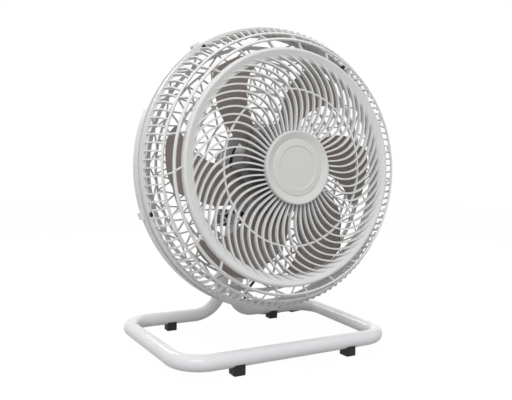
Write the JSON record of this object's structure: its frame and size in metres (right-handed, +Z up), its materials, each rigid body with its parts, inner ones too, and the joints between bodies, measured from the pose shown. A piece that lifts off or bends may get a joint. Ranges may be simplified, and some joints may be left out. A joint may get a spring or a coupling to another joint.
{
  "type": "floor fan",
  "caption": "Floor fan with a round grilled head, spiral front ribs and sickle blades, tilting on a low frame of one bent tube with rubber feet.",
  "frame": {"origin": "on the floor, under the middle of the base frame", "axes": "+Z up, the fan blows towards -Y, +X to the right as seen from the front"},
  "size_m": [0.492, 0.3972, 0.566],
  "materials": {
    "tube_paint": "gloss",
    "grille_plastic": "satin",
    "badge_plastic": "satin",
    "impeller_plastic": "satin",
    "black_plastic": "matte",
    "bracket_paint": "satin",
    "core_steel": "matte",
    "copper_wire": "satin",
    "bronze": "satin",
    "steel": "satin",
    "foot_rubber": "matte",
    "cord_rubber": "satin"
  },
  "bodies": {
    "base": {"base_frame": "tube_paint", "foot_front_left": "foot_rubber", "foot_front_right": "foot_rubber", "foot_rear_left": "foot_rubber", "foot_rear_right": "foot_rubber", "foot_screws": "steel", "leg_plugs": "black_plastic", "tilt_bolt": "steel", "tilt_washers": "steel", "cord_stretch": "cord_rubber", "cord_coil": "cord_rubber", "cord_tie": "cord_rubber", "mains_plug": "cord_rubber", "plug_pins": "bronze"},
    "tilt_knob": {"tilt_knob": "black_plastic", "tilt_knob_nut": "bronze"},
    "head": {"motor_front_housing": "black_plastic", "motor_rear_cover": "black_plastic", "stator_core": "core_steel", "stator_windings": "copper_wire", "front_bearing": "bronze", "rear_bearing": "bronze", "motor_screws": "steel", "rear_grille": "grille_plastic", "rear_grille_screws": "steel", "rim_latches": "black_plastic", "front_grille": "grille_plastic", "hub_badge": "badge_plastic", "tilt_bracket": "bracket_paint", "bracket_screws": "steel", "capacitor": "black_plastic", "speed_switch": "black_plastic", "cord_gland": "cord_rubber"},
    "speed_knob": {"speed_knob": "black_plastic"},
    "rotor": {"impeller": "impeller_plastic", "impeller_nut": "black_plastic", "motor_shaft": "steel", "rotor_core": "core_steel", "drive_pin": "steel"}
  },
  "joints": [
    {"name": "head_tilt", "type": "hinge", "parent": "base", "child": "head", "pos_m": [0, 0.06657, 0.228], "axis": [-1, 0, 0], "range_deg": [-10, 60]},
    {"name": "rotor_spin", "type": "hinge", "parent": "head", "child": "rotor", "pos_m": [0, 0, 0.32], "axis": [0, 1, 0], "continuous": true},
    {"name": "speed_knob_turn", "type": "hinge", "parent": "head", "child": "speed_knob", "pos_m": [0, 0.064, 0.354], "axis": [0, 1, 0], "range_deg": [0, 270]},
    {"name": "tilt_knob_turn", "type": "hinge", "parent": "base", "child": "tilt_knob", "pos_m": [0, 0.06657, 0.228], "axis": [1, 0, 0], "range_deg": [0, 180]}
  ]
}
